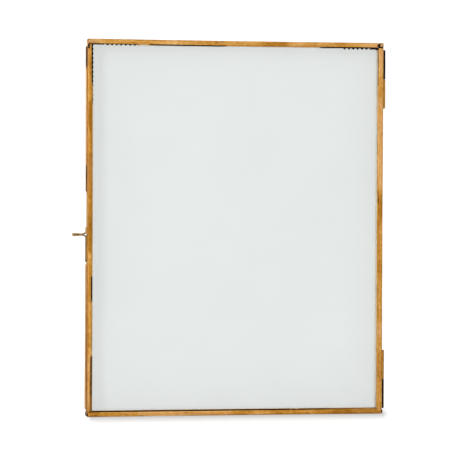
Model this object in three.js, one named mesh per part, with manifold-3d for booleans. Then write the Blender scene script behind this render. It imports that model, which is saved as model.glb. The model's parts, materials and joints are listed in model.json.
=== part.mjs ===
import * as THREE from "three";
import { mergeVertices } from "three/addons/utils/BufferGeometryUtils.js";
import Module from "manifold-3d";

// A hinged, double-glazed photo frame in antique brass. A print lies between two panes of glass.
// Each pane is edged with folded brass channel and makes one leaf. The front leaf opens like a
// door on two barrel hinges at the right, and a pin through two wire eyes shuts it at the left.
// Units are millimetres, +X right, +Z up, and the front faces -Y. The origin is on the back
// face at the middle of the top rail, where the frame meets a wall.

// Driving sizes of the leaves
const frameWidth = 205;
const frameHeight = 256;
const railFace = 3.5; // how far a channel's lips reach over the glass, outer edge included
const sheet = 0.7; // brass sheet that the channels are folded from
const foldRadius = 0.35; // outer radius of a fold in the sheet
const glassThickness = 2.5;
const glassFit = 0.25; // air between a pane and the channel all round it
const leafGap = 0.3; // air between the two leaves when shut
const jointGap = 0.15; // open joint between a stile and a rail, and round a tongue

// Driving sizes of the hinges
const knuckleLength = 19.8;
const knuckleGap = 0.2; // running gap between two knuckles
const barrelDiameter = 2.3;
const barrelFit = 0.1; // running gap between a barrel and the leaf beside it
const hingePinDiameter = 0.9;
const hingePinFit = 0.1; // radial gap between the pin and its bore
const hingePinEnd = 0.3; // how far the pin stands out of the barrels at each end
const upperHingeInset = 5; // from the top of the frame to the upper hinge
const lowerHingeInset = 3.8; // from the bottom of the frame to the lower hinge
const strapThickness = 0.4;
const strapWidth = 3.6; // width of the strap that is soldered to the leaf's side

// Driving sizes of the closure at the left side
const eyeWire = 0.8;
const eyeReach = 10; // from the leaf's side to the outer end of the loop
const loopLength = 7.4; // from the closing of the loop to its outer end
const neckGap = 0.12; // air between the two wires where the loop closes
const legSpread = 1.5; // half the distance between the two legs at the leaf's side
const upperFoot = 5; // from the eye's middle to the end of its upper foot
const lowerFoot = 18.6; // from the eye's middle to the end of its lower foot
const eyeDrop = 4.5; // how far the eye sits below the middle of the frame
const solderGap = 0.1; // thickness of the solder between a foot and the leaf's side
const latchPinDiameter = 0.6;
const latchPinFit = 0.1; // gap round the pin in the outer end of the loop
const latchPinTail = 0.9; // how far the pin stands out behind the back eye
const latchHeadDiameter = 1.5;
const latchHeadHeight = 0.6;
const latchHeadGap = 0.15; // air between the head and the front eye

// Driving sizes of the strips on the back leaf's left side
const stripThickness = 0.8;
const stripWidth = 4;
const stripEdgeRadius = 0.25;
const stripInset = 5; // from the end of the frame to the strip
const stripClearance = 1.5; // from the strip to the end of the eye's lower foot

// Sizes that follow from them
const leafDepth = glassThickness + 2 * glassFit + 2 * sheet;
const frontLeafY = -(leafDepth + leafGap);
const seamY = -(leafDepth + leafGap / 2);
const barrelRadius = barrelDiameter / 2;
const hingeAxisOffset = barrelRadius + barrelFit;
const eyeHeight = frameHeight / 2 - eyeDrop;
const loopEndRadius = (latchPinDiameter + eyeWire) / 2 + latchPinFit;
const latchPinX = -(eyeReach - eyeWire / 2 - loopEndRadius);

// Finishes
const brass = () => new THREE.MeshStandardMaterial({ color: 0xc4904f, roughness: 0.42, metalness: 1 });
const darkBrass = () => new THREE.MeshStandardMaterial({ color: 0x4b2d23, roughness: 0.55, metalness: 1 });
const glass = () =>
  new THREE.MeshStandardMaterial({
    color: 0xe5ebeb,
    roughness: 0.05,
    metalness: 0,
    transparent: true,
    opacity: 0.25,
  });

const wasm = await Module();
wasm.setup();

function solidFrom(geometry) {
  const bare = geometry.clone();
  bare.deleteAttribute("normal");
  bare.deleteAttribute("uv");
  const merged = mergeVertices(bare);
  return new wasm.Manifold(
    new wasm.Mesh({
      numProp: 3,
      vertProperties: merged.attributes.position.array,
      triVerts: new Uint32Array(merged.index.array),
    }),
  );
}

function geometryFrom(solid) {
  const { vertProperties, triVerts } = solid.getMesh();
  const geometry = new THREE.BufferGeometry();
  geometry.setAttribute("position", new THREE.BufferAttribute(vertProperties, 3));
  geometry.setIndex(new THREE.BufferAttribute(triVerts, 1));
  const faceted = geometry.toNonIndexed();
  faceted.computeVertexNormals();
  return faceted;
}

function piece(name, geometry, material) {
  const mesh = new THREE.Mesh(geometry, material);
  mesh.name = name;
  return mesh;
}

// A U-shaped channel along X, open upwards, with its outer corner line on Z = 0 and Y from 0 to
// -leafDepth. The two outer folds are round.
function channel(length) {
  const foldSteps = 4;
  const section = new THREE.Shape();
  section.moveTo(foldRadius, 0);
  section.lineTo(railFace, 0);
  section.lineTo(railFace, sheet);
  section.lineTo(sheet, sheet);
  section.lineTo(sheet, leafDepth - sheet);
  section.lineTo(railFace, leafDepth - sheet);
  section.lineTo(railFace, leafDepth);
  section.lineTo(foldRadius, leafDepth);
  section.absarc(foldRadius, leafDepth - foldRadius, foldRadius, Math.PI / 2, Math.PI, false);
  section.lineTo(0, foldRadius);
  section.absarc(foldRadius, foldRadius, foldRadius, Math.PI, 1.5 * Math.PI, false);
  const geometry = new THREE.ExtrudeGeometry(section, {
    depth: length,
    bevelEnabled: false,
    curveSegments: foldSteps / 2,
  });
  geometry.translate(0, 0, -length / 2);
  const inward = new THREE.Vector3(0, 0, 1);
  const forward = new THREE.Vector3(0, -1, 0);
  const along = new THREE.Vector3(1, 0, 0);
  return geometry.applyMatrix4(new THREE.Matrix4().makeBasis(inward, forward, along));
}

// A stile is a channel that fills the height between the rails. Its web runs on at both ends as
// a tongue between the lips of each rail, which closes the rail's open end and is soldered there.
function stile() {
  const length = frameHeight - 2 * (railFace + jointGap);
  const tongueLength = railFace - sheet;
  const tongueWidth = leafDepth - 2 * (sheet + jointGap);
  const tongues = new THREE.BoxGeometry(length + 2 * tongueLength, tongueWidth, sheet);
  tongues.translate(0, -leafDepth / 2, sheet / 2);
  return geometryFrom(solidFrom(channel(length)).add(solidFrom(tongues)));
}

// The four channels of a leaf are the bottom one turned round the leaf's four edges.
function leafChannels(side) {
  const edges = [
    { name: "bottom_rail", geometry: channel(frameWidth), turn: 0, x: 0, z: 0 },
    { name: "left_stile", geometry: stile(), turn: Math.PI / 2, x: -frameWidth / 2, z: frameHeight / 2 },
    { name: "top_rail", geometry: channel(frameWidth), turn: Math.PI, x: 0, z: frameHeight },
    { name: "right_stile", geometry: stile(), turn: -Math.PI / 2, x: frameWidth / 2, z: frameHeight / 2 },
  ];
  return edges.map((edge) => {
    const mesh = piece(`${side}_${edge.name}`, edge.geometry, brass());
    mesh.rotation.y = edge.turn;
    mesh.position.set(edge.x, 0, edge.z);
    return mesh;
  });
}

function pane(side) {
  const margin = 2 * (sheet + glassFit);
  const geometry = new THREE.BoxGeometry(frameWidth - margin, glassThickness, frameHeight - margin);
  const mesh = piece(`${side}_glass`, geometry, glass());
  mesh.position.set(0, -leafDepth / 2, frameHeight / 2);
  return mesh;
}

// A closed ring of corners, for the section of a wire.
function wireSection(diameter, sides) {
  const corners = [];
  for (let i = 0; i < sides; i += 1) {
    const angle = ((i + 0.5) / sides) * 2 * Math.PI;
    corners.push(new THREE.Vector2(Math.cos(angle), Math.sin(angle)).multiplyScalar(diameter / 2));
  }
  return new THREE.Shape(corners);
}

// One wire, bent from a long foot up the leaf's side, out along a leg, round the loop, back along
// the other leg and up the short foot. Its zero is on the leaf's side at the eye's height.
function wireEye(side) {
  const wireSides = 8;
  const wireSteps = 80;
  const at = (x, z) => new THREE.Vector3(x, 0, z);
  const mirrored = (point) => at(point.x, -point.z);

  const footX = -(eyeWire / 2 + solderGap);
  const neck = at(-(eyeReach - loopLength), (eyeWire + neckGap) / 2);
  const corner = at(footX, legSpread);
  const bendStart = at(footX, legSpread + eyeWire);
  const bendEnd = corner.clone().lerp(neck, eyeWire / corner.distanceTo(neck));

  // The loop widens from its closing to the pin, and is half round at its outer end
  const besidePin = at(latchPinX, loopEndRadius);
  const endBend = at(latchPinX - loopEndRadius * Math.SQRT1_2, loopEndRadius * Math.SQRT1_2);
  const outerEnd = at(latchPinX - loopEndRadius, 0);
  const upperLeg = [bendEnd, neck, besidePin, endBend];
  const lowerLeg = upperLeg.map(mirrored);

  const path = new THREE.CurvePath();
  path.add(new THREE.LineCurve3(at(footX, -lowerFoot), mirrored(bendStart)));
  path.add(new THREE.QuadraticBezierCurve3(mirrored(bendStart), mirrored(corner), mirrored(bendEnd)));
  path.add(new THREE.CatmullRomCurve3([...lowerLeg, outerEnd, ...upperLeg.reverse()]));
  path.add(new THREE.QuadraticBezierCurve3(bendEnd, corner, bendStart));
  path.add(new THREE.LineCurve3(bendStart, at(footX, upperFoot)));
  const geometry = new THREE.ExtrudeGeometry(wireSection(eyeWire, wireSides), {
    steps: wireSteps,
    extrudePath: path,
  });
  const mesh = piece(`${side}_latch_eye`, geometry, brass());
  mesh.position.set(-frameWidth / 2, -leafDepth / 2, eyeHeight);
  return mesh;
}

// A knuckle is a rolled barrel with a flat strap that is soldered to the leaf's side. The strap
// goes back (towards = 1) or forward (towards = -1) from the seam. Its zero is on the hinge axis.
function knuckle(name, towards, material) {
  const strapOuter = -(hingeAxisOffset - strapThickness);
  const strapStart = leafGap / 2;
  const strapEnd = strapStart + strapWidth;
  const fromAngle = Math.PI - Math.asin(strapStart / barrelRadius);
  const toAngle = Math.acos(strapOuter / barrelRadius) + 2 * Math.PI;
  const section = new THREE.Shape();
  section.moveTo(-hingeAxisOffset, towards * strapStart);
  section.absarc(0, 0, barrelRadius, towards * fromAngle, towards * toAngle, towards < 0);
  section.lineTo(strapOuter, towards * strapEnd);
  section.lineTo(-hingeAxisOffset, towards * strapEnd);
  const bore = new THREE.Path();
  bore.absarc(0, 0, hingePinDiameter / 2 + hingePinFit, 0, 2 * Math.PI, towards > 0);
  section.holes.push(bore);
  const geometry = new THREE.ExtrudeGeometry(section, {
    depth: knuckleLength,
    bevelEnabled: false,
    curveSegments: 12,
  });
  return piece(name, geometry, material);
}

// A turned piece round Y, from the height and radius of each corner, lowest first.
function turned(corners, sides) {
  const profile = corners.map(([radius, height]) => new THREE.Vector2(radius, height));
  return new THREE.LatheGeometry(profile, sides);
}

function hingePin(name) {
  const radius = hingePinDiameter / 2;
  const half = knuckleLength + knuckleGap / 2 + hingePinEnd;
  const chamfer = hingePinEnd / 2;
  const corners = [
    [0, -half],
    [radius - chamfer, -half],
    [radius, -half + chamfer],
    [radius, half - chamfer],
    [radius - chamfer, half],
    [0, half],
  ];
  const geometry = turned(corners, 16);
  geometry.rotateX(Math.PI / 2);
  return piece(name, geometry, darkBrass());
}

// A hinge has an outer knuckle on the back leaf and an inner knuckle on the front leaf. The
// outer knuckle lies towards the end of the frame: endwards is 1 at the top and -1 at the bottom.
function hinge(place, endwards, inset) {
  const distance = inset + knuckleLength + knuckleGap / 2;
  const middle = endwards > 0 ? frameHeight - distance : distance;
  const outer = knuckle(`${place}_hinge_back_knuckle`, 1, darkBrass());
  const inner = knuckle(`${place}_hinge_front_knuckle`, -1, brass());
  const higher = knuckleGap / 2;
  const lower = -(knuckleLength + knuckleGap / 2);
  outer.position.z = endwards > 0 ? higher : lower;
  inner.position.z = endwards > 0 ? lower : higher;
  const assembly = new THREE.Group();
  assembly.position.set(frameWidth / 2 + hingeAxisOffset, seamY, middle);
  assembly.add(outer, inner, hingePin(`${place}_hinge_pin`));
  return assembly;
}

// The pin that shuts the frame drops through both loops from the front. Its zero is the middle
// of the front leaf's depth, and its head is towards -Y.
function latchPin() {
  const radius = latchPinDiameter / 2;
  const headRadius = latchHeadDiameter / 2;
  const tail = leafDepth + leafGap + eyeWire / 2 + latchPinTail;
  const headBack = -(eyeWire / 2 + latchHeadGap);
  const headFront = headBack - latchHeadHeight;
  const corners = [
    [0, headFront],
    [headRadius * 0.6, headFront + latchHeadHeight * 0.12],
    [headRadius * 0.92, headFront + latchHeadHeight * 0.45],
    [headRadius, headBack],
    [radius, headBack],
    [radius, tail - radius],
    [0, tail],
  ];
  const mesh = piece("latch_pin", turned(corners, 16), darkBrass());
  mesh.position.set(-frameWidth / 2 + latchPinX, frontLeafY - leafDepth / 2, eyeHeight);
  return mesh;
}

// Two flat strips on the back leaf's left side. Both ends of each strip are set from the frame's
// ends and from the eye's lower foot, and the upper strip mirrors the lower one.
function sideStrips() {
  const lowerEnd = stripInset;
  const upperEnd = eyeHeight - lowerFoot - stripClearance;
  const length = upperEnd - lowerEnd;
  const middle = (upperEnd + lowerEnd) / 2;
  const places = [
    { name: "lower_side_strip", z: middle },
    { name: "upper_side_strip", z: frameHeight - middle },
  ];
  return places.map(({ name, z }) => {
    const half = stripWidth / 2;
    const section = new THREE.Shape();
    section.moveTo(0, -half);
    section.lineTo(0, half);
    section.lineTo(stripEdgeRadius - stripThickness, half);
    section.absarc(stripEdgeRadius - stripThickness, half - stripEdgeRadius, stripEdgeRadius, Math.PI / 2, Math.PI);
    section.absarc(stripEdgeRadius - stripThickness, stripEdgeRadius - half, stripEdgeRadius, Math.PI, 1.5 * Math.PI);
    const geometry = new THREE.ExtrudeGeometry(section, {
      depth: length,
      bevelEnabled: false,
      curveSegments: 2,
    });
    const mesh = piece(name, geometry, brass());
    mesh.position.set(-frameWidth / 2, -leafDepth / 2, z - length / 2);
    return mesh;
  });
}

function leaf(side, y) {
  const group = new THREE.Group();
  group.position.y = y;
  group.add(...leafChannels(side), pane(side), wireEye(side));
  return group;
}

const frame = new THREE.Group();
frame.add(leaf("back", 0), leaf("front", frontLeafY));
frame.add(hinge("upper", 1, upperHingeInset), hinge("lower", -1, lowerHingeInset));
frame.add(...sideStrips(), latchPin());
frame.position.z = -(frameHeight - railFace / 2);

const photoFrame = new THREE.Group();
photoFrame.add(frame);
export default photoFrame;
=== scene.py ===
import bpy, bmesh, json, math
from mathutils import Matrix, Vector


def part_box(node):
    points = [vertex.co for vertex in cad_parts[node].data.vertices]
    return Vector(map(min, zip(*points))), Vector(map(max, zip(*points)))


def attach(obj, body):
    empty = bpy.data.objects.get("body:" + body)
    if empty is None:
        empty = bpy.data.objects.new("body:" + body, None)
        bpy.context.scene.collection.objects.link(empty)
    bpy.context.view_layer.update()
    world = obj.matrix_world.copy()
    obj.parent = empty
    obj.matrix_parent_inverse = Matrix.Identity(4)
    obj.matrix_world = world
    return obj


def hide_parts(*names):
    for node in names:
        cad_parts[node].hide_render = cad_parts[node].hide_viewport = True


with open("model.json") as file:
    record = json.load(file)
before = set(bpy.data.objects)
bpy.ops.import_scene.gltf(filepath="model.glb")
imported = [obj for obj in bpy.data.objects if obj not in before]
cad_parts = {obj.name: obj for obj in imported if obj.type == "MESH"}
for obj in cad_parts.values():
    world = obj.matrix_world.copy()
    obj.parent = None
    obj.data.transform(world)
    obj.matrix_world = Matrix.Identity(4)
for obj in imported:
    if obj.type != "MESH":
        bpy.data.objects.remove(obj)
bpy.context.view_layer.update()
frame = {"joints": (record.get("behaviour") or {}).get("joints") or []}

# The camera stands 1.7 m in front of the frame, well to the left of its middle and a little above
# it, with a long lens, and looks slightly to the right and down.
mm = 0.001
bottom_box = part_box("front_bottom_rail")
top_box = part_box("front_top_rail")
back_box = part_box("back_bottom_rail")
frame_left = bottom_box[0].x
frame_right = bottom_box[1].x
frame_bottom = bottom_box[0].z
frame_top = top_box[1].z
frame_front = bottom_box[0].y
frame_width = frame_right - frame_left
frame_height = frame_top - frame_bottom
image_pixels = 460
focal_pixels = 2531.8
sensor_width = 36
camera_data = bpy.data.cameras.new("camera")
camera_data.sensor_width = sensor_width
camera_data.lens = focal_pixels / image_pixels * sensor_width
camera_data.clip_start = 0.1
camera = bpy.data.objects.new("camera", camera_data)
bpy.context.scene.collection.objects.link(camera)
camera_place = Vector((-318.2 * mm, frame_front - 1700 * mm, frame_bottom + 151.5 * mm))
camera_turn = Matrix.Rotation(math.radians(-10.447), 4, "Z")
camera_tip = Matrix.Rotation(math.radians(-0.819), 4, "X")
camera_roll = Matrix.Rotation(math.radians(-0.238), 4, "Y")
upright = Matrix.Rotation(math.radians(90), 4, "X")
camera.matrix_world = Matrix.Translation(camera_place) @ camera_turn @ camera_tip @ camera_roll @ upright
bpy.context.scene.camera = camera

# A plain white wall stands close behind the frame and a pale floor lies below it. Light and
# mirrored rays pass through both, and so does all that comes from behind the wall, so that the
# frame's back can be seen and lit too. A soft shadow is painted on the wall just below the
# frame's bottom edge, and wall and floor are both a little overexposed.
wall_gap = 8 * mm
stage_size = 6
stage_roughness = 0.9
floor_drop = 300 * mm
shadow_height = frame_bottom - 1.5 * mm
shadow_reach = 9.5 * mm
shadow_depth = 0.47
shadow_ends = 5 * mm


def add_node(tree, kind, **settings):
    node = tree.nodes.new(kind)
    for name, value in settings.items():
        setattr(node, name, value)
    return node


def math_of(tree, operation, first, second, clamp=False):
    node = add_node(tree, "ShaderNodeMath", operation=operation, use_clamp=clamp)
    for socket, value in zip(node.inputs, (first, second)):
        if isinstance(value, (int, float)):
            socket.default_value = value
        else:
            tree.links.new(value, socket)
    return node.outputs["Value"]


def mixed(tree, factor, first, second):
    node = add_node(tree, "ShaderNodeMix", data_type="RGBA")
    for socket, value in zip((node.inputs[0], node.inputs[6], node.inputs[7]), (factor, first, second)):
        if isinstance(value, (int, float)):
            socket.default_value = value
        elif isinstance(value, tuple):
            socket.default_value = (*value, 1)
        else:
            tree.links.new(value, socket)
    return node.outputs[2]


def painted_shadow(tree):
    """How dark the wall's painted shadow is: most behind the frame's bottom edge, and nothing further off.
    """
    apart = add_node(tree, "ShaderNodeSeparateXYZ")
    tree.links.new(add_node(tree, "ShaderNodeTexCoord").outputs["Object"], apart.inputs[0])
    across, up = apart.outputs["X"], apart.outputs["Y"]
    from_line = math_of(tree, "ABSOLUTE", math_of(tree, "SUBTRACT", up, shadow_height), 0)
    nearness = math_of(tree, "DIVIDE", from_line, shadow_reach)
    nearness = math_of(tree, "SUBTRACT", 1, nearness, clamp=True)
    shade = math_of(tree, "POWER", nearness, 2)
    from_left = math_of(tree, "SUBTRACT", across, frame_left)
    from_right = math_of(tree, "SUBTRACT", frame_right + 2 * shadow_ends, across)
    for distance in (from_left, from_right):
        share = math_of(tree, "DIVIDE", distance, shadow_ends, clamp=True)
        shade = math_of(tree, "MULTIPLY", shade, share)
    return math_of(tree, "MULTIPLY", shade, shadow_depth)


def stage_paint(name, grey, glow, lift, shadowed=False):
    """A matt paint that glows a little. The camera sees it brighter by lift."""
    paint = bpy.data.materials.new(name)
    paint.use_nodes = True
    tree = paint.node_tree
    shader = tree.nodes["Principled BSDF"]
    shader.inputs["Base Color"].default_value = (grey, grey, grey, 1)
    shader.inputs["Roughness"].default_value = stage_roughness
    shader.inputs["Specular IOR Level"].default_value = 0
    shader.inputs["Emission Color"].default_value = (1, 1, 1, 1)
    # The painted shadow darkens the paint's colour and its glow together.
    if shadowed:
        shadow = painted_shadow(tree)
        for socket, pale in (("Base Color", grey), ("Emission Color", 1)):
            shade = mixed(tree, shadow, (pale, pale, pale), (0, 0, 0))
            tree.links.new(shade, shader.inputs[socket])
    surface = add_node(tree, "ShaderNodeNewGeometry")
    ray = add_node(tree, "ShaderNodeLightPath").outputs
    seen = math_of(tree, "MULTIPLY", ray["Is Camera Ray"], lift)
    tree.links.new(math_of(tree, "ADD", seen, glow), shader.inputs["Emission Strength"])
    mirrored = math_of(tree, "SUBTRACT", ray["Is Glossy Ray"], ray["Is Transmission Ray"], clamp=True)
    passing = math_of(tree, "MAXIMUM", surface.outputs["Backfacing"], mirrored)
    passing = math_of(tree, "MAXIMUM", passing, ray["Is Shadow Ray"])
    clear = add_node(tree, "ShaderNodeBsdfTransparent")
    mix = add_node(tree, "ShaderNodeMixShader")
    tree.links.new(passing, mix.inputs["Fac"])
    tree.links.new(shader.outputs["BSDF"], mix.inputs[1])
    tree.links.new(clear.outputs["BSDF"], mix.inputs[2])
    tree.links.new(mix.outputs["Shader"], tree.nodes["Material Output"].inputs["Surface"])
    return paint


def stage_plane(name, place, turn, paint):
    bpy.ops.object.select_all(action="DESELECT")
    bpy.ops.mesh.primitive_plane_add(size=stage_size, location=place, rotation=turn)
    plane = bpy.context.object
    plane.name = name
    plane.data.materials.append(paint)


wall_paint = stage_paint("wall_paint", 0.4, 0.515, 0.27, shadowed=True)
floor_paint = stage_paint("floor_paint", 0.8, 0.2, 0.2)
stage_plane("wall", (0, wall_gap, 0), (math.radians(90), 0, 0), wall_paint)
stage_plane("floor", (0, 0, frame_bottom - floor_drop), (0, 0, 0), floor_paint)

# Soft light comes from all round, and more of it from a wide soft box in front. A lamp stands
# high in front at the left, another lights the left side, and a last one the back.
world = bpy.data.worlds.new("studio")
world.use_nodes = True
world.node_tree.nodes["Background"].inputs["Color"].default_value = (1, 1, 1, 1)
world.node_tree.nodes["Background"].inputs["Strength"].default_value = 0.52
bpy.context.scene.world = world
bpy.context.scene.view_settings.view_transform = "Standard"


def soft_lamp(name, place, size, power):
    lamp_data = bpy.data.lights.new(name, "AREA")
    lamp_data.size = size
    lamp_data.energy = power
    lamp = bpy.data.objects.new(name, lamp_data)
    bpy.context.scene.collection.objects.link(lamp)
    lamp.location = place
    middle = Vector((0, 0, (frame_top + frame_bottom) / 2))
    lamp.rotation_mode = "QUATERNION"
    lamp.rotation_quaternion = (middle - lamp.location).to_track_quat("-Z", "Y")


soft_lamp("soft_box", Vector((0.1, -2.3, 0.3)), 3.2, 20)
soft_lamp("key_lamp", Vector((-1.3, -2.0, 0.4)), 0.55, 16)
soft_lamp("side_lamp", Vector((-2.2, -0.5, 0.1)), 1.0, 4)
soft_lamp("back_lamp", Vector((-0.6, 1.6, 0.8)), 1.2, 14)

# Each leaf is edged by four lengths of brass sheet folded to a U, two rails across the full width
# and two stiles between them. They are made once by folding a long strip, and the stiles' webs
# run on between the rails' lips. Hand folding leaves them a little uneven.
rail_face = bottom_box[1].z - bottom_box[0].z
leaf_depth = bottom_box[1].y - bottom_box[0].y
sheet = 0.7 * mm
fold_radius = 0.3 * mm
joint_gap = 0.15 * mm


def select_only(piece):
    bpy.ops.object.select_all(action="DESELECT")
    piece.select_set(True)
    bpy.context.view_layer.objects.active = piece


def add_block(name, low, high):
    bpy.ops.object.select_all(action="DESELECT")
    low, high = Vector(low), Vector(high)
    bpy.ops.mesh.primitive_cube_add(size=1, location=(low + high) / 2, scale=high - low)
    bpy.ops.object.transform_apply(location=True, rotation=True, scale=True)
    piece = bpy.context.object
    piece.name = name
    piece.data.name = name
    return piece


def pick_faces(piece, rule):
    mesh = bmesh.from_edit_mesh(piece.data)
    for face in mesh.faces:
        face.select_set(rule(face))
    bmesh.update_edit_mesh(piece.data)


def pick_points(piece, rule):
    mesh = bmesh.from_edit_mesh(piece.data)
    for point in mesh.verts:
        point.select_set(rule(point.co))
    mesh.select_flush_mode()
    bmesh.update_edit_mesh(piece.data)


def pick_edges(piece, rule):
    mesh = bmesh.from_edit_mesh(piece.data)
    for edge in mesh.edges:
        edge.select_set(rule(edge))
    bmesh.update_edit_mesh(piece.data)


def start_shaping(piece, mode):
    select_only(piece)
    bpy.ops.object.mode_set(mode="EDIT")
    bpy.ops.mesh.select_mode(type=mode)
    bpy.ops.mesh.select_all(action="DESELECT")


def end_shaping():
    bpy.ops.object.mode_set(mode="OBJECT")


def finish_with(piece, kind, **settings):
    select_only(piece)
    modifier = piece.modifiers.new(kind.lower(), kind)
    for name, value in settings.items():
        setattr(modifier, name, value)
    bpy.ops.object.modifier_apply(modifier=modifier.name)


def runs_along_x(edge):
    run = edge.verts[0].co - edge.verts[1].co
    return abs(run.x) > 0.5 * run.length


def unevenness(name, size):
    texture = bpy.data.textures.new(name, "CLOUDS")
    texture.noise_scale = size
    texture.noise_depth = 2
    return texture


hand_folding = unevenness("hand_folding", 18 * mm)


def keep_grain(piece, offset, along="x"):
    """Stores where each point lies along and across the piece, for its streaks."""
    grain = piece.data.attributes.new("grain", "FLOAT_VECTOR", "POINT")
    for point, value in zip(piece.data.vertices, grain.data):
        place = point.co if along == "x" else point.co.zyx
        value.vector = (place.x + offset, place.y, place.z)


def put_in_place(piece, turn, place):
    select_only(piece)
    piece.rotation_euler = turn
    piece.location = place
    bpy.ops.object.transform_apply(location=True, rotation=True, scale=True)


def smooth(piece, degrees):
    select_only(piece)
    bpy.ops.object.shade_smooth_by_angle(angle=math.radians(degrees))


def fold_channel(name, length, front_trim, end_trim):
    """A channel along X, open upwards, with its web on Z = 0 and its front at Y = -leaf_depth.

    Its front lip is lower by front_trim, and longer at both ends by end_trim.
    """
    strip_step = 2.5 * mm
    channel = add_block(name, (-length / 2, -leaf_depth, 0), (length / 2, 0, rail_face))
    start_shaping(channel, "FACE")
    pick_faces(channel, lambda face: face.normal.z > 0.5 or abs(face.normal.x) > 0.5)
    bpy.ops.mesh.delete(type="ONLY_FACE")
    bpy.ops.mesh.select_mode(type="EDGE")
    pick_edges(channel, runs_along_x)
    bpy.ops.mesh.subdivide(number_cuts=round(length / strip_step))
    bpy.ops.mesh.select_mode(type="VERT")
    pick_points(channel, lambda place: place.y < -0.9 * leaf_depth and place.z > 0.9 * rail_face)
    bpy.ops.transform.translate(value=(0, 0, -front_trim))
    for end in (-1, 1):
        pick_points(channel, lambda place: place.y < -0.9 * leaf_depth and place.x * end > 0.4999 * length)
        bpy.ops.transform.translate(value=(end * end_trim, 0, 0))
    end_shaping()
    finish_with(channel, "SOLIDIFY", thickness=sheet, offset=-1, use_even_offset=True)
    finish_with(channel, "BEVEL", width=fold_radius, segments=3, limit_method="ANGLE")
    finish_with(channel, "DISPLACE", texture=hand_folding, direction="Z", strength=0.12 * mm, mid_level=0.5)
    finish_with(channel, "DISPLACE", texture=hand_folding, direction="Y", strength=0.08 * mm, mid_level=0.5)
    return channel


def add_tongues(channel, length):
    reach = length / 2 + rail_face - sheet
    slack = sheet + joint_gap
    tongue = add_block("tongue", (-reach, -leaf_depth + slack, 0), (reach, -slack, sheet))
    finish_with(tongue, "BEVEL", width=0.15 * mm, segments=2)
    select_only(channel)
    tongue.select_set(True)
    bpy.ops.object.join()


rail_length = frame_width
stile_length = frame_height - 2 * (rail_face + joint_gap)
middle_height = (frame_top + frame_bottom) / 2
leaf_backs = {"front": bottom_box[1].y, "back": back_box[1].y}
channel_places = {
    "bottom_rail": (rail_length, 0, 0, frame_bottom),
    "left_stile": (stile_length, 90, frame_left, middle_height),
    "top_rail": (rail_length, 180, 0, frame_top),
    "right_stile": (stile_length, -90, frame_right, middle_height),
}
edge_bows = {
    "bottom_rail": Vector((0, 0, 0.15 * mm)),
    "left_stile": Vector((0.25 * mm, 0, 0)),
    "top_rail": Vector((0, 0, -0.25 * mm)),
    "right_stile": Vector((-0.1 * mm, 0, 0)),
}
edge_wear_and_highlights = {
    "bottom_rail": [
        ("dark", 0, 2, 0.6),
        ("amber", 2, 8, 1.2),
        ("amber", 8, 33, 0.3),
        ("pale", 36, 98, 0.5),
        ("pale", 62, 88, 0.8),
        ("amber", 100, 113, 0.7),
        ("amber", 117, 140, 0.4),
        ("amber", 141, 170, 1),
        ("amber", 170, 205, 2),
        ("amber", 178, 185, 2.6),
    ],
    "left_stile": [
        ("amber", 3, 25, 0.7),
        ("amber", 25, 60, 0.5),
        ("amber", 42, 76, 1.7),
        ("amber", 76, 111, 1.5),
        ("amber", 111, 145, 1.6),
        ("amber", 45, 60, 0.6),
        ("amber", 88, 99, 0.7),
        ("amber", 109, 128, 0.8),
        ("dark", 121, 137, 0.25),
        ("amber", 150, 158, 0.6),
        ("amber", 168, 178, 0.5),
        ("amber", 200, 209, 0.5),
        ("pale", 215, 250, 0.5),
    ],
    "top_rail": [
        ("dark", -2, 3, 0.42),
        ("dark", 3, 9, 0.3),
        ("pale", 0, 9, 0.8),
        ("pale", 55, 61, 0.4),
        ("amber", 62, 89, 0.6),
        ("amber", 119, 137, 0.8),
        ("pale", 138, 148, 0.7),
        ("amber", 165, 178, 0.4),
        ("pale", 190, 204, 0.4),
    ],
    "right_stile": [
        # The palest patch at the top of the right stile is pinkish brass with a painted highlight on it.
        ("pale", 3, 12, 1.2),
        ("pale", 12, 22, 0.8),
        ("amber", 28, 36, 0.5),
        ("pale", 37, 46, 0.5),
        ("pale", 50, 100, 0.4),
        ("amber", 102, 160, 0.7),
        ("amber", 160, 190, 0.4),
        ("pale", 192, 204, 0.4),
        ("amber", 215, 252, 0.5),
    ],
}


def bow(piece, edge):
    """Bends a piece along one edge of the frame a little inwards at its middle."""
    for point in piece.data.vertices:
        if edge.endswith("rail"):
            along = point.co.x / (frame_width / 2)
        else:
            along = (point.co.z - middle_height) / (frame_height / 2)
        point.co += edge_bows[edge] * (1 - along * along)


def ease(distance, start, end, softness):
    """One within a stretch given in millimetres, nothing outside it, and soft between the two."""
    inside = min(distance - start * mm, end * mm - distance) / softness + 0.5
    return min(1, max(0, inside))


def paint_wear_and_light(piece, patches, upright_piece, softness=2.5 * mm):
    """Stores how dark, how amber and how pale each point is, for wear and for painted shade and highlights.

    A patch runs from one distance to another, in millimetres from the frame's left or top.
    """
    wear_and_painted_light = piece.data.attributes.new("wear_and_painted_light", "FLOAT_VECTOR", "POINT")
    kinds = ("dark", "amber", "pale")
    for point, value in zip(piece.data.vertices, wear_and_painted_light.data):
        distance = frame_top - point.co.z if upright_piece else point.co.x - frame_left
        amounts = Vector((0, 0, 0))
        for kind, start, end, strength in patches:
            order = kinds.index(kind)
            amounts[order] = max(amounts[order], strength * ease(distance, start, end, softness))
        value.vector = amounts


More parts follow.
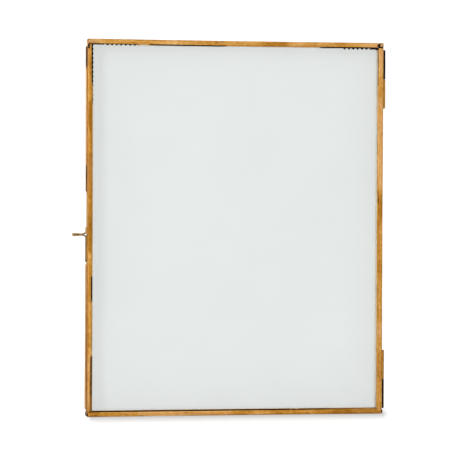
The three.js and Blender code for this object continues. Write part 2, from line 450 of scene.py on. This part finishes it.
front_lips = {
    "bottom_rail": 3.45 * mm,
    "left_stile": 2.8 * mm,
    "top_rail": 3.35 * mm,
    "right_stile": 3.75 * mm,
}
back_lip_extra = 0.5 * mm
channels = {}
for side, leaf_back in leaf_backs.items():
    for order, (edge, (length, turn, x, z)) in enumerate(channel_places.items()):
        front_trim = rail_face - front_lips[edge] if side == "front" else 0
        if side == "back" and edge == "bottom_rail":
            front_trim = -back_lip_extra
        end_trim = rail_face - front_lips["top_rail"] if side == "front" and edge.endswith("stile") else 0
        channel = fold_channel(f"{side}_{edge}_channel", length, front_trim, end_trim)
        if edge.endswith("stile"):
            add_tongues(channel, length)
        keep_grain(channel, order * 1.7 + leaf_back * 90)
        put_in_place(channel, (0, math.radians(turn), 0), (x, leaf_back, z))
        bow(channel, edge)
        paint_wear_and_light(channel, edge_wear_and_highlights[edge] if side == "front" else [], edge.endswith("stile"))
        smooth(channel, 40)
        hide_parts(f"{side}_{edge}")
        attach(channel, f"{side}_leaf")
        channels[f"{side}_{edge}"] = channel


def stretched(tree, vector, scale):
    mapping = add_node(tree, "ShaderNodeMapping")
    mapping.inputs["Scale"].default_value = scale
    tree.links.new(vector, mapping.inputs["Vector"])
    return mapping.outputs["Vector"]


def noise_of(tree, vector, scale, detail):
    texture = add_node(tree, "ShaderNodeTexNoise")
    texture.inputs["Scale"].default_value = 1
    texture.inputs["Detail"].default_value = detail
    tree.links.new(stretched(tree, vector, scale), texture.inputs["Vector"])
    return texture.outputs["Fac"]


def ramp(tree, value, stops):
    node = add_node(tree, "ShaderNodeValToRGB")
    while len(node.color_ramp.elements) < len(stops):
        node.color_ramp.elements.new(0.5)
    for element, (place, colour) in zip(node.color_ramp.elements, stops):
        element.position = place
        element.color = (*colour, 1)
    tree.links.new(value, node.inputs["Fac"])
    return node.outputs["Color"]


def remap(tree, value, low, high, new_low, new_high):
    node = add_node(tree, "ShaderNodeMapRange")
    node.inputs["From Min"].default_value = low
    node.inputs["From Max"].default_value = high
    node.inputs["To Min"].default_value = new_low
    node.inputs["To Max"].default_value = new_high
    tree.links.new(value, node.inputs["Value"])
    return node.outputs["Result"]


streak_weight = 0.45
cloud_tones = (0.045, 0.505)
fleck_weight = 0.08
amber_weight = 0.09
pale_weight = 0.06
brass_tones = [
    (0.32, (0.36, 0.145, 0.012)),
    (0.44, (0.56, 0.25, 0.030)),
    (0.53, (0.70, 0.355, 0.070)),
    (0.68, (0.88, 0.54, 0.18)),
]
rubbed_and_highlit_brass = (0.78, 0.44, 0.19)
dark_brown = (0.030, 0.015, 0.010)


def patina_group():
    """Streaks, clouds of amber, rubbed places, brown spots and fine scratches on old brass, with the
    painted shade and highlights given in its wear.
    """
    group = bpy.data.node_groups.new("patina", "ShaderNodeTree")
    group.interface.new_socket("Grain", in_out="INPUT", socket_type="NodeSocketVector")
    group.interface.new_socket("Wear_and_painted_light", in_out="INPUT", socket_type="NodeSocketVector")
    group.interface.new_socket("Color", in_out="OUTPUT", socket_type="NodeSocketColor")
    group.interface.new_socket("Roughness", in_out="OUTPUT", socket_type="NodeSocketFloat")
    group.interface.new_socket("Height", in_out="OUTPUT", socket_type="NodeSocketFloat")
    given = add_node(group, "NodeGroupInput")
    grain = given.outputs["Grain"]
    wear_and_light_parts = add_node(group, "ShaderNodeSeparateXYZ")
    group.links.new(given.outputs["Wear_and_painted_light"], wear_and_light_parts.inputs[0])
    dark, amber, pale = wear_and_light_parts.outputs
    streaks = noise_of(group, grain, (28, 900, 900), 3)
    clouds = noise_of(group, grain, (55, 120, 120), 4)
    flecks = noise_of(group, grain, (420, 1100, 1100), 3)
    warm = noise_of(group, grain, (35, 60, 60), 2)
    spots = noise_of(group, grain, (130, 420, 420), 3)
    scratches = noise_of(group, grain, (180, 6000, 6000), 2)
    tone = math_of(group, "MULTIPLY", streaks, streak_weight)
    tone = math_of(group, "ADD", tone, remap(group, clouds, 0, 1, *cloud_tones))
    tone = math_of(group, "ADD", tone, remap(group, flecks, 0.3, 0.7, -fleck_weight, fleck_weight))
    tone = math_of(group, "SUBTRACT", tone, math_of(group, "MULTIPLY", amber, amber_weight))
    tone = math_of(group, "ADD", tone, math_of(group, "MULTIPLY", pale, pale_weight))
    metal = ramp(group, tone, brass_tones)
    pink = math_of(group, "MULTIPLY", remap(group, warm, 0.4, 0.6, 0.3, 1), pale)
    pink = math_of(group, "MAXIMUM", remap(group, warm, 0.55, 0.75, 0, 0.3), pink)
    rubbed_and_highlit = mixed(group, math_of(group, "MULTIPLY", pink, 0.7), metal, rubbed_and_highlit_brass)
    spot_mask = remap(group, spots, 0.66, 0.76, 0, 0.6)
    ragged = remap(group, math_of(group, "ADD", dark, clouds), 0.75, 1.15, 0, 1)
    darkened = math_of(group, "MAXIMUM", spot_mask, ragged)
    colour = mixed(group, darkened, rubbed_and_highlit, dark_brown)
    rough = remap(group, clouds, 0.3, 0.7, 0.34, 0.5)
    rough = math_of(group, "ADD", rough, math_of(group, "MULTIPLY", darkened, 0.3))
    height = math_of(group, "MULTIPLY", scratches, 0.4)
    height = math_of(group, "ADD", height, math_of(group, "MULTIPLY", streaks, 0.6))
    made = add_node(group, "NodeGroupOutput")
    group.links.new(colour, made.inputs["Color"])
    group.links.new(rough, made.inputs["Roughness"])
    group.links.new(height, made.inputs["Height"])
    return group


patina = patina_group()


def brass_material(name, tint):
    """Old brass of one tint under the patina. Grain and wear come from the piece."""
    material = bpy.data.materials.new(name)
    material.use_nodes = True
    tree = material.node_tree
    shader = tree.nodes["Principled BSDF"]
    grain = add_node(tree, "ShaderNodeAttribute", attribute_name="grain")
    wear_and_painted_light = add_node(tree, "ShaderNodeAttribute", attribute_name="wear_and_painted_light")
    surface = add_node(tree, "ShaderNodeGroup", node_tree=patina)
    bump = add_node(tree, "ShaderNodeBump")
    bump.inputs["Strength"].default_value = 0.35
    bump.inputs["Distance"].default_value = 0.05 * mm
    tree.links.new(grain.outputs["Vector"], surface.inputs["Grain"])
    tree.links.new(wear_and_painted_light.outputs["Vector"], surface.inputs["Wear_and_painted_light"])
    tinted = add_node(tree, "ShaderNodeMix", data_type="RGBA", blend_type="MULTIPLY")
    tinted.inputs[0].default_value = 1
    tinted.inputs[7].default_value = (*tint, 1)
    tree.links.new(surface.outputs["Color"], tinted.inputs[6])
    tree.links.new(tinted.outputs[2], shader.inputs["Base Color"])
    shader.inputs["Metallic"].default_value = 1
    tree.links.new(surface.outputs["Roughness"], shader.inputs["Roughness"])
    tree.links.new(surface.outputs["Height"], bump.inputs["Height"])
    tree.links.new(bump.outputs["Normal"], shader.inputs["Normal"])
    return material


old_brass = brass_material("old_brass", (0.89, 0.9, 1.08))
for channel in channels.values():
    channel.data.materials.append(old_brass)

# A dark line along the corner between each front lip and the glass is painted shade for the
# shadowed gap there, built as a line of black putty. It is spread wide in some places, thin and
# less dark in others, and is pressed into small lumps near the top corners.
shade_seal_stretches = 100
stretch_cuts = 4
shade_seal_spreads = {
    "bottom_rail": [(-5, 145, 0.15, 0.55), (145, 210, 0.05, 0.55)],
    "left_stile": [
        (-5, 30, 0.5, 0.3),
        (160, 178, 0.6, 0.1),
        (178, 212, 0.1, 0.2),
        (214, 260, 1, 0.5),
    ],
    "top_rail": [(-5, 10, 0.1, 0.6), (40, 95, 0.1, 0.55), (160, 197, 0.1, 0.6), (196, 210, 0.1, 1.3)],
    "right_stile": [(-5, 260, 0.05, 0.15)],
}
# How dark the painted shade line is along each edge.
shade_seal_darkness = {
    "bottom_rail": [("dark", -5, 140, 1), ("dark", 140, 210, 0.55)],
    "left_stile": [
        ("dark", -5, 32, 1),
        ("dark", 32, 44, 0.5),
        ("dark", 160, 178, 0.7),
        ("dark", 178, 212, 0.4),
        ("dark", 214, 260, 0.62),
    ],
    "top_rail": [
        ("dark", -5, 17, 1),
        ("dark", 17, 34, 0.8),
        ("dark", 42, 95, 0.9),
        ("dark", 160, 195, 0.75),
        ("dark", 195, 210, 1),
    ],
    "right_stile": [("dark", -5, 30, 0.6), ("dark", 30, 260, 0.3)],
}
shade_seal_lumps = {"left_stile": [(3, 44)], "top_rail": [(10, 36), (176, 197)]}
thin_shade_seal = 0.2 * mm
shade_seal_lap = 0.15 * mm
lump_pitch = 3.1 * mm
lump_height = 0.95 * mm
inward_ways = {
    "bottom_rail": Vector((0, 0, 1)),
    "left_stile": Vector((1, 0, 0)),
    "top_rail": Vector((0, 0, -1)),
    "right_stile": Vector((-1, 0, 0)),
}
solder_lumps = unevenness("solder_lumps", 1.6 * mm)


def along_edge(place, edge):
    """How far a place is from the frame's left end, or for a stile from its top end."""
    return frame_top - place.z if edge.endswith("stile") else place.x - frame_left


def lay_shade_seal(name, length, lip):
    """A thin line along X on the inner edge of a channel's front lip, from its front to the glass."""
    front = -leaf_depth - 0.06 * mm
    back = -leaf_depth + sheet + 0.25 * mm
    shade_seal = add_block(name, (-length / 2, front, lip - shade_seal_lap), (length / 2, back, lip + thin_shade_seal))
    start_shaping(shade_seal, "EDGE")
    for cuts in (shade_seal_stretches - 1, stretch_cuts):
        pick_edges(shade_seal, runs_along_x)
        bpy.ops.mesh.subdivide(number_cuts=cuts)
    end_shaping()
    finish_with(shade_seal, "BEVEL", width=0.1 * mm, segments=2, limit_method="ANGLE")
    finish_with(shade_seal, "DISPLACE", texture=solder_lumps, strength=0.12 * mm, mid_level=0.5)
    return shade_seal


def spread_shade_seal(shade_seal, edge, middle):
    """Widens a line of painted shade over the lip and over the glass, and presses the lumps into it."""
    inward = inward_ways[edge]
    for point in shade_seal.data.vertices:
        distance = along_edge(point.co, edge)
        over_lip, over_glass = 0, 0
        for start, end, lip_side, glass_side in shade_seal_spreads[edge]:
            share = ease(distance, start, end, 3 * mm)
            over_lip = max(over_lip, share * lip_side * mm)
            over_glass = max(over_glass, share * glass_side * mm - thin_shade_seal)
        for start, end in shade_seal_lumps.get(edge, []):
            wave = max(0, math.sin(2 * math.pi * distance / lump_pitch))
            lump = lump_height * (0.5 if edge == "left_stile" else 1)
            over_glass += ease(distance, start, end, 2 * mm) * wave * lump
        if (point.co - middle).dot(inward) > 0:
            point.co += inward * over_glass
        else:
            point.co -= inward * over_lip


for order, (edge, (length, turn, x, z)) in enumerate(channel_places.items()):
    is_stile = edge.endswith("stile")
    opening = (frame_height if is_stile else frame_width) - 2 * front_lips["top_rail"]
    shade_seal = lay_shade_seal(f"front_{edge}_seal", opening, front_lips[edge])
    keep_grain(shade_seal, order * 2.3)
    put_in_place(shade_seal, (0, math.radians(turn), 0), (x, leaf_backs["front"], z))
    middle = Vector((x, 0, z)) + inward_ways[edge] * (front_lips[edge] + (thin_shade_seal - shade_seal_lap) / 2)
    spread_shade_seal(shade_seal, edge, middle)
    bow(shade_seal, edge)
    paint_wear_and_light(shade_seal, shade_seal_darkness[edge], is_stile, softness=2 * mm)
    smooth(shade_seal, 60)
    shade_seal.data.materials.append(old_brass)
    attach(shade_seal, "front_leaf")

# Each pane is bedded on its leaf's rear lips in grey putty, which shows through the glass. It has
# fallen out along the bottom.
bedding_gap = 0.25 * mm
bedding_edge = 0.15 * mm
bedding_putty = bpy.data.materials.new("bedding_putty")
bedding_putty.use_nodes = True
putty_tree = bedding_putty.node_tree
putty_shader = putty_tree.nodes["Principled BSDF"]
putty_shader.inputs["Roughness"].default_value = 0.8
putty_place = add_node(putty_tree, "ShaderNodeTexCoord").outputs["Object"]
putty_clouds = noise_of(putty_tree, putty_place, (160, 160, 160), 4)
putty_colour = ramp(putty_tree, putty_clouds, [(0.3, (0.70, 0.68, 0.57)), (0.7, (0.86, 0.85, 0.76))])
putty_grit = noise_of(putty_tree, putty_place, (2500, 2500, 2500), 2)
putty_bump = add_node(putty_tree, "ShaderNodeBump")
putty_bump.inputs["Strength"].default_value = 0.4
putty_bump.inputs["Distance"].default_value = 0.1 * mm
putty_tree.links.new(putty_colour, putty_shader.inputs["Base Color"])
putty_tree.links.new(putty_grit, putty_bump.inputs["Height"])
putty_tree.links.new(putty_bump.outputs["Normal"], putty_shader.inputs["Normal"])
for side, leaf_back in leaf_backs.items():
    for edge in ("left_stile", "top_rail", "right_stile"):
        _, turn, x, z = channel_places[edge]
        opening = (frame_height if edge.endswith("stile") else frame_width) - 2 * rail_face
        bedding = add_block(
            f"{side}_{edge}_bedding",
            (-opening / 2 - rail_face / 2, -sheet - bedding_gap, sheet),
            (opening / 2 + rail_face / 2, -sheet / 4, rail_face + bedding_edge),
        )
        start_shaping(bedding, "EDGE")
        pick_edges(bedding, runs_along_x)
        bpy.ops.mesh.subdivide(number_cuts=round(opening / (2 * mm)))
        end_shaping()
        finish_with(bedding, "BEVEL", width=0.08 * mm, segments=2, limit_method="ANGLE")
        lumps = {"texture": solder_lumps, "direction": "Z", "strength": 0.3 * mm, "mid_level": 0.5}
        finish_with(bedding, "DISPLACE", **lumps)
        put_in_place(bedding, (0, math.radians(turn), 0), (x, leaf_back, z))
        bow(bedding, edge)
        smooth(bedding, 60)
        bedding.data.materials.append(bedding_putty)
        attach(bedding, f"{side}_leaf")


# The rails and stiles are soldered together at the corners, on the front and on the back. The
# solder is left as it cooled and is dark on some corners; at the lower right of the front it is
# painted pale for the highlight on it.
def solder_drop(name, low, high, lumps, wear_and_painted_light):
    """A low cooled drop of solder between two corners, lumpy and half sunk round what it holds."""
    bpy.ops.object.select_all(action="DESELECT")
    low, high = Vector(low), Vector(high)
    middle = (low + high) / 2
    bpy.ops.mesh.primitive_uv_sphere_add(
        segments=20,
        ring_count=12,
        radius=0.5,
        location=middle,
        scale=high - low,
    )
    bpy.ops.object.transform_apply(location=True, rotation=True, scale=True)
    drop = bpy.context.object
    drop.name = name
    finish_with(drop, "DISPLACE", texture=solder_lumps, strength=lumps, mid_level=0.5)
    keep_grain(drop, low.z, along="z")
    paint_wear_and_light(drop, [(wear_and_painted_light, -10, 300, 1)], True)
    smooth(drop, 60)
    drop.data.materials.append(old_brass)
    return drop


seam_half_width = 0.3 * mm
seam_proud = 0.1 * mm
# The front lower right corner is painted pale for its highlight.
corner_finish = {"top_left": "dark", "top_right": "dark", "bottom_left": "dark", "bottom_right": "pale"}
for side, face_y, out in (("front", frame_front, -1), ("back", 0, 1)):
    for corner, finish in corner_finish.items():
        level, hand = corner.split("_")
        lip = front_lips["top_rail"] if side == "front" else rail_face
        seam_z = frame_top - lip if level == "top" else frame_bottom + lip
        inner = frame_left + lip if hand == "left" else frame_right - lip
        outer = frame_left if hand == "left" else frame_right
        west, east = sorted((inner, outer))
        near, far = sorted((face_y + out * seam_proud, face_y - out * 3 * seam_proud))
        seam = solder_drop(
            f"{side}_{corner}_solder",
            (west, near, seam_z - seam_half_width),
            (east, far, seam_z + seam_half_width),
            0.12 * mm,
            finish if side == "front" else "amber",
        )
        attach(seam, f"{side}_leaf")

# Where too much solder was used, drops of it have run over the front of the corners.
corner_drops = [
    ("upper_left_drop", frame_left + 0.5 * mm, frame_top - 5 * mm, 1.7 * mm, 3.8 * mm, "dark"),
    ("upper_left_spot", frame_left + 0.9 * mm, frame_top - 5.2 * mm, 0.7 * mm, 1 * mm, "amber"),
    ("upper_left_rub", frame_left + 1.5 * mm, frame_top - 1.6 * mm, 2.2 * mm, 1.8 * mm, "pale"),
    ("upper_right_ring", frame_right - 2.3 * mm, frame_top - 2 * mm, 4.7 * mm, 3 * mm, "dark"),
    ("upper_right_drop", frame_right - 1.6 * mm, frame_top - 1.9 * mm, 2.7 * mm, 2.2 * mm, "pale"),
    ("upper_right_fillet", frame_right - 4.8 * mm, frame_top - 4.2 * mm, 2.4 * mm, 1.6 * mm, "dark"),
    ("lower_left_drop", frame_left + 0.2 * mm, frame_bottom + 1.7 * mm, 1 * mm, 2.4 * mm, "dark"),
    ("lower_left_joint", frame_left + 2 * mm, frame_bottom + 3.3 * mm, 1.8 * mm, 0.8 * mm, "dark"),
    ("lower_left_spot", frame_left + 4.8 * mm, frame_bottom + 1.7 * mm, 4.6 * mm, 1.5 * mm, "amber"),
    ("lower_right_drop", frame_right - 0.1 * mm, frame_bottom + 1.7 * mm, 1.1 * mm, 2.3 * mm, "dark"),
    # The pale drop at the lower right is solder painted pale for the highlight on it.
    ("lower_right_highlight_drop", frame_right - 1.9 * mm, frame_bottom + 2.9 * mm, 2.4 * mm, 1.1 * mm, "pale"),
]
drop_proud = 0.16 * mm
for name, x, z, width, height, finish in corner_drops:
    drop = solder_drop(
        name,
        (x - width / 2, frame_front - (1 if finish == "dark" else 1.3) * drop_proud, z - height / 2),
        (x + width / 2, frame_front + 2.2 * drop_proud, z + height / 2),
        0.08 * mm,
        finish,
    )
    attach(drop, "front_leaf")

# Solder has also run down the lower left end of the back leaf.
end_drop = solder_drop(
    "back_lower_left_drop",
    (frame_left - 0.5 * mm, -0.8 * leaf_depth, frame_bottom + 0.2 * mm),
    (frame_left + 0.4 * mm, -0.1 * leaf_depth, frame_bottom + rail_face),
    0.1 * mm,
    "dark",
)
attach(end_drop, "back_leaf")

# The two panes are clear float glass with ground edges, and lie in the channels all round.
pane_bevel = 0.3 * mm
clear_glass = bpy.data.materials.new("clear_glass")
clear_glass.use_nodes = True
glass_tree = clear_glass.node_tree
glass_shader = glass_tree.nodes["Principled BSDF"]
glass_shader.inputs["Transmission Weight"].default_value = 1
glass_shader.inputs["IOR"].default_value = 1.52
glass_place = add_node(glass_tree, "ShaderNodeTexCoord").outputs["Object"]
haze = noise_of(glass_tree, glass_place, (14, 14, 14), 3)
glass_tint = ramp(glass_tree, haze, [(0.3, (0.877, 0.899, 0.894)), (0.7, (0.889, 0.909, 0.904))])
glass_tree.links.new(glass_tint, glass_shader.inputs["Base Color"])
glass_smear = remap(glass_tree, haze, 0.45, 0.75, 0, 0.012)
glass_tree.links.new(glass_smear, glass_shader.inputs["Roughness"])
glass_ray = add_node(glass_tree, "ShaderNodeLightPath").outputs
glass_clear = add_node(glass_tree, "ShaderNodeBsdfTransparent")
glass_mix = add_node(glass_tree, "ShaderNodeMixShader")
glass_lit = math_of(glass_tree, "MAXIMUM", glass_ray["Is Shadow Ray"], glass_ray["Is Diffuse Ray"])
glass_tree.links.new(glass_lit, glass_mix.inputs["Fac"])
glass_tree.links.new(glass_shader.outputs["BSDF"], glass_mix.inputs[1])
glass_tree.links.new(glass_clear.outputs["BSDF"], glass_mix.inputs[2])
glass_tree.links.new(glass_mix.outputs["Shader"], glass_tree.nodes["Material Output"].inputs["Surface"])
for side in leaf_backs:
    pane = add_block(f"{side}_pane", *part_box(f"{side}_glass"))
    finish_with(pane, "BEVEL", width=pane_bevel, segments=2)
    pane.data.materials.append(clear_glass)
    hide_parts(f"{side}_glass")
    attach(pane, f"{side}_leaf")

# Two barrel hinges join the leaves at the right side. Each knuckle is a strip of brass sheet, flat
# where it is soldered to a stile and rolled round the pin, and the pin's ends are hammered over.
hinge_x, hinge_y, _ = frame["joints"][0]["pos_m"]
knuckle_sheet = 0.35 * mm
roll_angle = 300
roll_steps = 24
touching = 0.001 * mm
pin_radius = (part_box("upper_hinge_pin")[1].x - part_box("upper_hinge_pin")[0].x) / 2
pin_head_radius = 0.8 * mm
pin_head_height = 0.28 * mm
darkest = [("dark", -10, 300, 1)]


def roll_knuckle(node, towards):
    low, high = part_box(node)
    radius = high.x - hinge_x
    strap_end = high.y if towards > 0 else low.y
    near, far = sorted((hinge_y, strap_end))
    knuckle = add_block(node + "_roll", (hinge_x - radius, near, low.z), (hinge_x, far, high.z))
    start_shaping(knuckle, "FACE")
    pick_faces(knuckle, lambda face: face.normal.x > -0.5)
    bpy.ops.mesh.delete(type="FACE")
    bpy.ops.mesh.select_mode(type="EDGE")
    pick_edges(knuckle, lambda edge: all(abs(end.co.y - hinge_y) < touching for end in edge.verts))
    turn = -math.radians(roll_angle) * towards
    bpy.ops.mesh.spin(steps=roll_steps, angle=turn, center=(hinge_x, hinge_y, 0), axis=(0, 0, 1))
    bpy.ops.mesh.select_all(action="SELECT")
    bpy.ops.mesh.remove_doubles(threshold=touching)
    bpy.ops.mesh.normals_make_consistent(inside=False)
    end_shaping()
    strap = max(knuckle.data.polygons, key=lambda face: face.area)
    if strap.normal.x > 0:
        start_shaping(knuckle, "FACE")
        bpy.ops.mesh.select_all(action="SELECT")
        bpy.ops.mesh.flip_normals()
        end_shaping()
    finish_with(knuckle, "SOLIDIFY", thickness=knuckle_sheet, offset=-1, use_even_offset=True)
    steep = math.radians(50)
    finish_with(knuckle, "BEVEL", width=0.07 * mm, segments=2, limit_method="ANGLE", angle_limit=steep)
    return knuckle


def swell_end(piece, at_top, radius, height):
    """Hammers one end of an upright pin out into a low head."""
    sign = 1 if at_top else -1
    end = max(point.co.z * sign for point in piece.data.vertices)
    start_shaping(piece, "FACE")
    pick_faces(piece, lambda face: face.calc_center_median().z * sign > end - 0.01 * mm)
    bpy.ops.mesh.extrude_region()
    grow = radius / pin_radius
    bpy.ops.transform.resize(value=(grow, grow, 1), center_override=(hinge_x, hinge_y, 0))
    bpy.ops.mesh.extrude_region()
    bpy.ops.transform.translate(value=(0, 0, sign * height))
    end_shaping()


for place, order in (("upper", 1), ("lower", 2)):
    for side, towards in (("back", 1), ("front", -1)):
        node = f"{place}_hinge_{side}_knuckle"
        knuckle = roll_knuckle(node, towards)
        keep_grain(knuckle, order * 0.7 + towards, along="z")
        paint_wear_and_light(knuckle, darkest if side == "back" else [("amber", -10, 300, 0.8)], True)
        smooth(knuckle, 35)
        knuckle.data.materials.append(old_brass)
        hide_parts(node)
        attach(knuckle, f"{side}_leaf")
    low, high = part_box(f"{place}_hinge_pin")
    shank = high.z - low.z - 2 * pin_head_height
    bpy.ops.object.select_all(action="DESELECT")
    pin_middle = (hinge_x, hinge_y, (low.z + high.z) / 2)
    bpy.ops.mesh.primitive_cylinder_add(vertices=24, radius=pin_radius, depth=shank, location=pin_middle)
    bpy.ops.object.transform_apply(location=True, rotation=True, scale=True)
    pin = bpy.context.object
    pin.name = f"{place}_pin_wire"
    swell_end(pin, True, pin_head_radius, pin_head_height)
    swell_end(pin, False, pin_head_radius, pin_head_height)
    finish_with(pin, "BEVEL", width=0.1 * mm, segments=2, limit_method="ANGLE")
    keep_grain(pin, order * 0.3, along="z")
    paint_wear_and_light(pin, darkest, True)
    smooth(pin, 50)
    pin.data.materials.append(old_brass)
    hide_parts(f"{place}_hinge_pin")
    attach(pin, "back_leaf")

# Each leaf has an eye of brass wire at its left side. The wire runs up the stile, out along a leg,
# round a narrow loop and back. A dark seam of solder between the legs of the loop is painted
# shade for the shadowed slot between them, and both feet are soldered down.
eye_boxes = {side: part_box(f"{side}_latch_eye") for side in leaf_backs}
latch_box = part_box("latch_pin")
wire_radius = 0.4 * mm
latch_radius = 0.3 * mm
eye_middle = (latch_box[0].z + latch_box[1].z) / 2
pin_x = (latch_box[0].x + latch_box[1].x) / 2
loop_end = eye_boxes["front"][0].x + wire_radius
end_radius = pin_x - loop_end
foot_line = frame_left - wire_radius - 0.05 * mm
neck_x = loop_end - wire_radius + 7.4 * mm
neck_half = wire_radius + 0.05 * mm
leg_spread = 1.4 * mm
wire_sides = 4


def eye_route(upper_foot, lower_foot):
    """Places along the wire, from the end of its lower foot to the end of its upper foot."""
    slope = math.radians(45)
    half = [(foot_line, leg_spread + 3 * wire_radius), (foot_line, leg_spread + 1.2 * wire_radius)]
    half.append((foot_line - 0.7 * wire_radius, leg_spread - 0.1 * wire_radius))
    half.append((neck_x, neck_half))
    half.append(((neck_x + pin_x) / 2, neck_half + 0.1 * (end_radius - neck_half)))
    half.append((pin_x, end_radius))
    half.append((pin_x - end_radius * math.cos(slope), end_radius * math.sin(slope)))
    lower = [(foot_line, -lower_foot)] + [(x, -z) for x, z in half]
    upper = list(reversed(half)) + [(foot_line, upper_foot)]
    return lower + [(loop_end, 0)] + upper


def bend_wire(name, route, y, height):
    curve = bpy.data.curves.new(name, "CURVE")
    curve.dimensions = "3D"
    curve.bevel_depth = wire_radius
    curve.bevel_resolution = wire_sides
    curve.resolution_u = 8
    curve.use_fill_caps = True
    spline = curve.splines.new("BEZIER")
    spline.bezier_points.add(len(route) - 1)
    for point, (x, z) in zip(spline.bezier_points, route):
        point.co = (x, y, height + z)
        point.handle_left_type = "AUTO"
        point.handle_right_type = "AUTO"
    wire = bpy.data.objects.new(name, curve)
    bpy.context.scene.collection.objects.link(wire)
    select_only(wire)
    bpy.ops.object.convert(target="MESH")
    return bpy.context.object


wire_brass = brass_material("wire_brass", (0.74, 0.9, 1.35))
# The wire is dark near the stile, but its upper foot is rubbed paler.
leg_wear = [("dark", -2.9, -1.1, 0.6), ("dark", -1.1, 5, 0.48)]
upper_foot_dark = 0.3
upper_foot_pale = 0.4
for side in leaf_backs:
    low, high = eye_boxes[side]
    y = (low.y + high.y) / 2
    route = eye_route(high.z - eye_middle, eye_middle - low.z)
    wire = bend_wire(f"{side}_eye_wire", route, y, eye_middle)
    keep_grain(wire, y * 50, along="z")
    paint_wear_and_light(wire, leg_wear, False, softness=0.6 * mm)
    for point, value in zip(wire.data.vertices, wire.data.attributes["wear_and_painted_light"].data):
        if point.co.z > eye_middle + leg_spread:
            value.vector = (upper_foot_dark * value.vector[0], 0, upper_foot_pale)
    wire.data.materials.append(wire_brass)
    smooth(wire, 60)
    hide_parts(f"{side}_latch_eye")
    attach(wire, f"{side}_leaf")
    feet = {
        "upper": (eye_middle + 2.4 * mm, high.z - 0.3 * mm),
        "lower": (low.z + 1 * mm, eye_middle - 3 * mm),
    }
    for foot, (bottom, top) in feet.items():
        drop = solder_drop(
            f"{side}_eye_{foot}_solder",
            (foot_line, y - 0.6 * mm, bottom),
            (frame_left + 0.1 * mm, y + 0.6 * mm, top),
            0.06 * mm,
            "amber",
        )
        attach(drop, f"{side}_leaf")
    # The dark seam in the loop's slot is painted shade.
    seam = solder_drop(
        f"{side}_eye_shade_seam",
        (pin_x + 1.1 * mm, y - 0.25 * mm, eye_middle - 0.3 * mm),
        (neck_x + 0.4 * mm, y + 0.25 * mm, eye_middle + 0.3 * mm),
        0.04 * mm,
        "dark",
    )
    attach(seam, f"{side}_leaf")

# A short pin of wire with a domed head is pushed through both loops from the front.
head_radius = (latch_box[1].z - latch_box[0].z) / 2
head_height = 0.6 * mm
head_back = latch_box[0].y + head_height
bpy.ops.object.select_all(action="DESELECT")
bpy.ops.mesh.primitive_cylinder_add(
    vertices=24,
    radius=latch_radius,
    depth=latch_box[1].y - head_back,
    location=(pin_x, (latch_box[1].y + head_back) / 2, eye_middle),
    rotation=(math.radians(90), 0, 0),
)
bpy.ops.object.transform_apply(location=True, rotation=True, scale=True)
latch = bpy.context.object
latch.name = "latch_pin_wire"
pin_centre = (pin_x, head_back, eye_middle)
start_shaping(latch, "FACE")
pick_faces(latch, lambda face: face.normal.y < -0.5)
for grow, forward in ((head_radius / latch_radius, 0), (0.95, 0.3), (0.8, 0.45), (0.55, 0.25)):
    bpy.ops.mesh.extrude_region()
    bpy.ops.transform.resize(value=(grow, 1, grow), center_override=pin_centre)
    bpy.ops.transform.translate(value=(0, -forward * head_height, 0))
end_shaping()
finish_with(latch, "BEVEL", width=0.08 * mm, segments=2, limit_method="ANGLE", angle_limit=math.radians(60))
keep_grain(latch, 0.4)
paint_wear_and_light(latch, [("pale", -10, 300, 0.8), ("dark", -10, 300, 0.36)], True)
smooth(latch, 50)
latch.data.materials.append(old_brass)
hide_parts("latch_pin")
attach(latch, "latch_pin")

# Two flat brass strips are soldered along the back leaf's left side, above and below the eye.
# The upper one is dark at both ends.
strip_wear = {
    "upper": [("dark", 4, 20, 0.5), ("pale", 22, 80, 0.4), ("dark", 84, 105, 0.5)],
    "lower": [("pale", 150, 252, 0.4)],
}
for place in ("upper", "lower"):
    node = f"{place}_side_strip"
    low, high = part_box(node)
    strip = add_block(node + "_brass", low, high)
    start_shaping(strip, "EDGE")
    pick_edges(strip, lambda edge: abs(edge.verts[0].co.z - edge.verts[1].co.z) > 10 * mm)
    bpy.ops.mesh.subdivide(number_cuts=40)
    end_shaping()
    finish_with(strip, "BEVEL", width=0.2 * mm, segments=2, limit_method="ANGLE")
    finish_with(strip, "DISPLACE", texture=hand_folding, direction="X", strength=0.12 * mm, mid_level=0.5)
    keep_grain(strip, 0.9 + low.z, along="z")
    bow(strip, "left_stile")
    paint_wear_and_light(strip, strip_wear[place], True)
    smooth(strip, 40)
    strip.data.materials.append(old_brass)
    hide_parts(node)
    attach(strip, "back_leaf")
